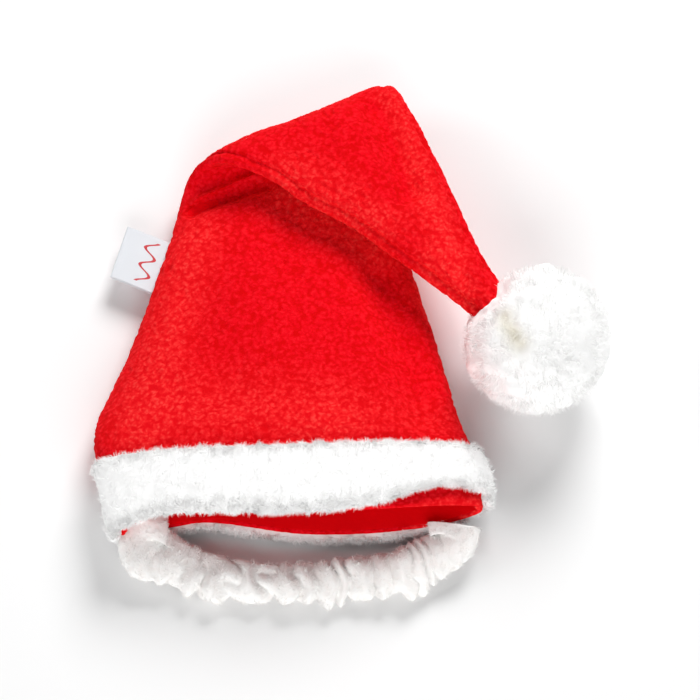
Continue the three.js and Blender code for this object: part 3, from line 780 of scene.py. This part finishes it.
# The strap's middle line. across is a share of half the mouth's width, reach a share of the strap's
# reach in front of the mouth, rise a share of its height above the floor, width and height shares of
# its own, roll its turn in degrees, and gather how far it is ruffled.
STRAP_COLUMN_NAMES = ("place", "across", "reach", "rise", "width", "height", "roll", "gather")
STRAP_ROWS = [
    (0.0, -0.65, -0.3, 1.28, 0.5, 0.38, -14, 0.0),
    (0.1, -0.64, 0.05, 1.36, 0.6, 0.42, -14, 0.0),
    (0.2, -0.655, 0.34, 0.86, 1.06, 0.6, 4, 0.3),
    (0.3, -0.4, 0.6, 0.58, 0.82, 0.85, 6, 0.9),
    (0.4, -0.139, 0.745, 0.47, 0.72, 0.92, 2, 1.0),
    (0.5, 0.15, 0.745, 0.47, 0.7, 0.92, 0, 1.0),
    (0.6, 0.428, 0.69, 0.47, 0.8, 0.92, 0, 1.0),
    (0.7, 0.657, 0.595, 0.47, 0.9, 0.92, 0, 1.0),
    (0.8, 0.79, 0.45, 0.5, 0.9, 0.85, 0, 0.6),
    (0.9, 0.925, 0.24, 0.72, 0.78, 0.6, -4, 0.1),
    (1.0, 0.94, 0.0, 1.02, 1.0, 0.42, 0, 0.0),
]


def strap_column(name, place):
    """A column of the strap's table at places along it."""
    return curve_through(STRAP_ROWS, STRAP_COLUMN_NAMES, name, place)


def strap_middle(place):
    """Points of the strap's middle line."""
    return np.stack(
        [
            MOUTH_X + strap_column("across", place) * MOUTH_WIDTH / 2,
            MOUTH_Y - strap_column("reach", place) * STRAP_REACH,
            strap_column("rise", place) * STRAP_HEIGHT,
        ],
        axis=-1,
    )


def strap_point(place, round_turn, swell):
    """A point of the strap: round its middle line stands a rounded oblong of the strap's width and
    height, each half of it grown by swell, whose rise is the sine of the turn to the power 0.8.
    round_turn goes from the inner edge over the top."""
    near = 0.004
    ahead = strap_middle(place + near) - strap_middle(place - near)
    ahead[..., 2] = 0
    ahead = unit(ahead)
    roll = np.radians(strap_column("roll", place))[..., None]
    level = np.stack([-ahead[..., 1], ahead[..., 0], np.zeros_like(place)], axis=-1)
    up = np.array([0.0, 0.0, 1.0])
    side = level * np.cos(roll) + up * np.sin(roll)
    top = up * np.cos(roll) - level * np.sin(roll)
    across = np.cos(round_turn) * (strap_column("width", place) * STRAP_WIDTH / 2 + swell)
    half_height = strap_column("height", place) * STRAP_HEIGHT / 2 + swell
    rise = np.sign(np.sin(round_turn)) * np.abs(np.sin(round_turn)) ** 0.8 * half_height
    points = strap_middle(place) + side * across[..., None] + top * rise[..., None]
    points[..., 2] = np.maximum(points[..., 2], FLOOR_GAP)
    return points


def gathers(place, round_turn):
    """Swell of the gathered cloth: rounded folds across the strap with narrow hollows between them,
    (1 + cos(phase)) / 2 to the power 0.5, whose phase runs unevenly along the strap and wanders
    from one edge to the other. They are 0.7 high at the inner edge and 1.7 at the outer one, which
    is scalloped too, and 0.85 is taken off, so the strap keeps its width."""
    smooth = strap_point(place, round_turn, np.zeros_like(place))
    uneven = 0.45 * np.sin(9 * place + 1) + 0.3 * np.sin(23 * place)
    phase = 2 * math.pi * (STRAP_FOLDS * place + uneven) + 0.9 * np.cos(round_turn + 3 * place)
    phase += 1.1 * waves(smooth, FOLD_WANDER, 24, seed=41)
    outer = (1 - np.cos(round_turn)) / 2
    scallop = 0.5 * outer * np.sin(math.pi * SCALLOPS * place + 2)
    size = 1 + 0.3 * waves(smooth, FOLD_SIZES, 20, seed=42)
    folds = (0.5 + 0.5 * np.cos(phase)) ** 0.5 * (0.7 + outer) * size - 0.85 + scallop
    return strap_column("gather", place) * FOLD_HEIGHT * folds


ring_place, turn_place = np.meshgrid(
    np.linspace(0, 1, STRAP_RINGS), 2 * math.pi * np.arange(STRAP_SIDES) / STRAP_SIDES, indexing="ij"
)
strap_swell = gathers(ring_place, turn_place)
strap_rings = strap_point(ring_place, turn_place, strap_swell)
end_middles = strap_rings[[0, -1]].mean(axis=1, keepdims=True).repeat(STRAP_SIDES, axis=1)
strap_rings = np.concatenate([end_middles[:1], strap_rings, end_middles[1:]])
strap_base = strap_rings.reshape(-1, 3)
strap_faces = grid_faces(len(strap_rings), STRAP_SIDES)
strap_rng = np.random.default_rng(51)
spots, normals = face_spots(strap_base, strap_faces, STRAP_PILE, strap_rng)
ways = pile_ways(
    spots, normals, upright=0.6, leaning=0.8, stray=0.5, least=0.25, pitch=5.0,
    seeds=(61, 62, 63), rng=strap_rng,
)
lengths = STRAP_PILE_LENGTH * strap_rng.uniform(0.5, 1.1, STRAP_PILE)
strap_blades = pile(spots, normals, ways, lengths, STRAP_PILE_WIDTH, 0.4, strap_rng)
strap_blades[0][:, 2] = np.maximum(strap_blades[0][:, 2], FLOOR_GAP)
strap_plush = plush_material("strap_plush", (0.98, 0.95, 0.93), (0.99, 0.98, 0.965), 300)
strap = furry_piece("chin_strap_plush", strap_base, strap_faces, strap_blades, strap_plush)
merge_points(strap)
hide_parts("chin_strap")
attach(strap, "root")

# Pompom. The real one is a ball of long faux fur, gathered under the tip of the crown and sewn to
# it. The fur stands out all round, parts a little beside the tip, and is pressed where it lies.
POMPOM_DIAMETER = 67.0
POMPOM_SINK = 0.65  # share of its radius from the crown's tip to its middle
POMPOM_TURN = math.radians(12.7)  # of its middle, from the way that the tip points
POMPOM_PRESS = 0.5  # how far its own weight presses it flat where it lies
POMPOM_HEAD = 0.95  # share of its radius where the fur closes to a dense ball
HEAD_RINGS = 90
HEAD_COLUMNS = 140
HEAD_SWELLS = [(0.018, 15.0, 24, 71), (0.008, 6.0, 40, 72)]  # height, pitch, count and seed of noise
POMPOM_FUR = 15000
POMPOM_FUR_LENGTH = 4.2
POMPOM_FUR_WIDTH = 0.22
ROOT_DEPTH = 0.02  # share of its radius that the fur is rooted below the dense ball
PARTING = [(-0.50, -0.10, 0.86), (-0.30, -0.50, 0.81)]  # the ends of a parting, from its middle
PARTING_WIDTH = 0.14
PARTING_DEPTH = 0.05
NECK_BARE = 0.45  # angle round the crown's tip inside which no fur is rooted
NECK_WIDTH = 0.5  # angle inside which the ball is pressed in by the tip that lies on it
NECK_DENT = 0.2  # share of its radius that it is pressed in by
NECK_UNDER = np.array([0.0, -0.15, 0.45])  # turns that place from the tip's end to under the tip

tip_places = np.array([1.0, 0.96])
tip_fronts = crown_point(tip_places, np.full(2, math.pi / 2), np.zeros(2))
tip_backs = crown_point(tip_places, np.full(2, -math.pi / 2), np.zeros(2))
tip_end, tip_before = (tip_fronts + tip_backs) / 2
tip_way = Matrix.Rotation(POMPOM_TURN, 3, "Z") @ Vector(tip_end - tip_before).normalized()
pompom_radius = POMPOM_DIAMETER / 2
pompom_middle = tip_end + np.array(tip_way) * POMPOM_SINK * pompom_radius
pompom_middle[2] = pompom_radius - POMPOM_PRESS
neck = unit(unit(tip_end - pompom_middle) + NECK_UNDER)


def ball_grid(rings, columns):
    """Directions of a ball's points, ring after ring from its top to its bottom."""
    tilt, turn = np.meshgrid(
        np.linspace(0, math.pi, rings), 2 * math.pi * np.arange(columns) / columns, indexing="ij"
    )
    return np.stack([np.sin(tilt) * np.cos(turn), np.sin(tilt) * np.sin(turn), np.cos(tilt)], axis=-1)


def parted(ways):
    """How far the fur is parted: exp(-(distance from the parting's line / its width)^2), both in
    shares of the pompom's radius."""
    start, end = (unit(np.array(p)) for p in PARTING)
    run = end - start
    share = np.clip((ways - start) @ run / (run @ run), 0, 1)
    away_from_line = np.linalg.norm(ways - start - share[..., None] * run, axis=-1)
    return np.exp(-((away_from_line / PARTING_WIDTH) ** 2))


def from_neck(ways):
    """Angle from each way to the middle of the place that the crown's tip lies on."""
    return np.arccos(np.clip(ways @ neck, -1, 1))


def ball_share(ways):
    """Radius of the dense fur along each way, as a share of the pompom's. It is less in the parting,
    and under the crown's tip by the dent times exp(-(angle from its middle / its width)^2)."""
    pressed = NECK_DENT * np.exp(-((from_neck(ways) / NECK_WIDTH) ** 2))
    return POMPOM_HEAD - PARTING_DEPTH * parted(ways) - pressed


head_ways = ball_grid(HEAD_RINGS, HEAD_COLUMNS)
head_places = head_ways * pompom_radius
head_swell = sum(
    height * waves(head_places, pitch, count, seed) for height, pitch, count, seed in HEAD_SWELLS
)
head_radius = pompom_radius * (ball_share(head_ways) + head_swell)
head_points = (pompom_middle + head_ways * head_radius[..., None]).reshape(-1, 3)
head_faces = grid_faces(HEAD_RINGS, HEAD_COLUMNS)[:, ::-1]

fur_rng = np.random.default_rng(81)
roots = unit(fur_rng.normal(size=(POMPOM_FUR, 3)))
roots = roots[from_neck(roots) > NECK_BARE]
spots = pompom_middle + roots * pompom_radius * (ball_share(roots) - ROOT_DEPTH)[:, None]
ways = pile_ways(
    spots, roots, upright=1.0, leaning=0.4, stray=0.4, least=0.4, pitch=9.0,
    seeds=(91, 92, 93), rng=fur_rng,
)
lengths = POMPOM_FUR_LENGTH * fur_rng.uniform(0.5, 1.1, len(roots))
fur = pile(spots, roots, ways, lengths, POMPOM_FUR_WIDTH, 0.3, fur_rng)
fur[0][:, 2] = np.maximum(fur[0][:, 2], FLOOR_GAP + 0.02 * fur_rng.uniform(size=len(fur[0])))
faux_fur = plush_material("faux_fur", (0.97, 0.967, 0.962), (0.995, 0.995, 0.99), 150, parting=True)
pompom = furry_piece("pompom_fur", head_points, head_faces, fur, faux_fur)
parting_shares = np.concatenate([parted(head_ways).ravel(), np.repeat(parted(roots), 5)])
point_values(pompom, "parting", parting_shares)
merge_points(pompom)
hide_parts("pompom")
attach(pompom, "root")

# Label. The real one is a white satin ribbon, folded in two and sewn into the left seam of the
# crown by its two ends. A plain wave of red thread is woven along it.
LABEL_LENGTH = 27.2  # along the seam
LABEL_REACH = 22.5  # out of the seam
RIBBON_THICKNESS = 0.6
RIBBON_GAP = 0.5  # between its two layers
LABEL_ALONG = 0.379  # share of the crown's length where its middle is sewn in
LABEL_SKEW = math.radians(10)  # it is pulled askew towards the tip
LABEL_WAVE = 0.5  # how far the cloth rises between seam and fold
LABEL_STEPS = 60
LAYER_STEPS = 40
TURN_STEPS = 12

RIBBON_WHITE = (0.8, 0.83, 0.87)
THREAD_RED = (0.62, 0.02, 0.03)
THREAD_WAVES = 3
THREAD_RUN = 0.8  # share of the label's length that the red wave takes
THREAD_PLACE = 0.36  # of the wave's middle from the seam, a share of the label's reach
THREAD_SWING = 0.13  # of the wave to either side, a share of the label's reach
THREAD_HALF_WIDTH = 0.035  # a share of the label's reach
WARP_THREADS = 64
WEFT_THREADS = 40

bend_reach = LABEL_REACH - RIBBON_GAP / 2 - RIBBON_THICKNESS
flat_run = np.linspace(0, bend_reach, LAYER_STEPS)
turn_run = np.linspace(-math.pi / 2, math.pi / 2, TURN_STEPS + 2)[1:-1]


def ribbon_side(radius):
    """One face of the folded ribbon's section, as (out, thick): along its lower layer, round the
    fold, and back along its upper layer. The cloth rises by a half sine between seam and fold."""
    out = np.concatenate([flat_run, bend_reach + radius * np.cos(turn_run), flat_run[::-1]])
    layer = np.full(LAYER_STEPS, radius)
    thick = np.concatenate([-layer, radius * np.sin(turn_run), layer])
    return np.stack([out, thick + LABEL_WAVE * np.sin(math.pi * out / LABEL_REACH)], axis=-1)


outer_side = ribbon_side(RIBBON_GAP / 2 + RIBBON_THICKNESS)
inner_side = ribbon_side(RIBBON_GAP / 2)
section = np.concatenate([outer_side, inner_side[::-1]])
seam_places = LABEL_ALONG + np.array([-0.5, 0.0, 0.5]) * LABEL_LENGTH / CROWN_LENGTH
seam_points = crown_point(seam_places, np.full(3, math.pi), np.full(3, SEAT_GAP))
seam_way = unit(seam_points[2] - seam_points[0])
label_out = unit(np.cross([0.0, 0.0, 1.0], seam_way))
label_thick = np.cross(seam_way, label_out)
skew_way = np.cross(label_out, label_thick)
label_out = label_out * math.cos(LABEL_SKEW) + skew_way * math.sin(LABEL_SKEW)
steps = np.linspace(-0.5, 0.5, LABEL_STEPS)
label_points = (
    seam_points[1]
    + section[None, :, :1] * label_out
    + section[None, :, 1:] * label_thick
    + LABEL_LENGTH * steps[:, None, None] * seam_way
)
label_faces = grid_faces(LABEL_STEPS, len(section))
half_count = len(outer_side)
lower = np.arange(half_count - 1)
end_strip = np.stack([lower, lower + 1, len(section) - 2 - lower, len(section) - 1 - lower], axis=1)
last = (LABEL_STEPS - 1) * len(section)
ends = np.concatenate([end_strip[:, ::-1], end_strip + last])


def satin_material():
    """White satin ribbon with a fine weave, and a wave of red thread along it."""
    material, shader = plain_material("woven_ribbon", RIBBON_WHITE, 0.45)
    tree = material.node_tree
    uv = tree.nodes.new("ShaderNodeUVMap")
    uv.uv_map = "ribbon"
    split = tree.nodes.new("ShaderNodeSeparateXYZ")
    tree.links.new(uv.outputs["UV"], split.inputs["Vector"])

    def calculate(operation, first, second):
        node = tree.nodes.new("ShaderNodeMath")
        node.operation = operation
        for i, value in enumerate((first, second)):
            if isinstance(value, (int, float)):
                node.inputs[i].default_value = value
            elif value is not None:
                tree.links.new(value, node.inputs[i])
        return node.outputs["Value"]

    def sine_along(output, waves_across):
        return calculate("SINE", calculate("MULTIPLY", output, 2 * math.pi * waves_across), None)

    wave = sine_along(split.outputs["X"], THREAD_WAVES)
    line = calculate("SUBTRACT", split.outputs["Y"], calculate("MULTIPLY", wave, THREAD_SWING))
    from_line = calculate("ABSOLUTE", calculate("SUBTRACT", line, THREAD_PLACE), None)
    on_line = calculate("LESS_THAN", from_line, THREAD_HALF_WIDTH)
    from_middle = calculate("ABSOLUTE", calculate("SUBTRACT", split.outputs["X"], 0.5), None)
    inside = calculate("LESS_THAN", from_middle, THREAD_RUN / 2)
    mix = tree.nodes.new("ShaderNodeMix")
    mix.data_type = "RGBA"
    mix.inputs["A"].default_value = (*RIBBON_WHITE, 1.0)
    mix.inputs["B"].default_value = (*THREAD_RED, 1.0)
    tree.links.new(calculate("MULTIPLY", on_line, inside), mix.inputs["Factor"])
    tree.links.new(mix.outputs["Result"], shader.inputs["Base Color"])
    warp = sine_along(split.outputs["X"], WARP_THREADS)
    weft = sine_along(split.outputs["Y"], WEFT_THREADS)
    bump(tree, shader, calculate("MULTIPLY", warp, weft), 0.00012, 0.5)
    shader.inputs["Sheen Weight"].default_value = 0.2
    return material


woven_ribbon = satin_material()
ribbon_points = label_points.reshape(-1, 3)
label = mesh_piece("label_ribbon", ribbon_points, [label_faces, ends], [woven_ribbon] * 2)
ribbon_map = label.data.uv_layers.new(name="ribbon")
places_along = np.repeat(steps + 0.5, len(section))
places_out = np.tile(section[:, 0] / LABEL_REACH, LABEL_STEPS)
corner_points = np.empty(len(label.data.loops), dtype=np.int32)
label.data.loops.foreach_get("vertex_index", corner_points)
ribbon_uv = np.stack([places_along, places_out], axis=1)[corner_points]
ribbon_map.data.foreach_set("uv", ribbon_uv.astype(np.float32).ravel())
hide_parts("label")
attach(label, "root")
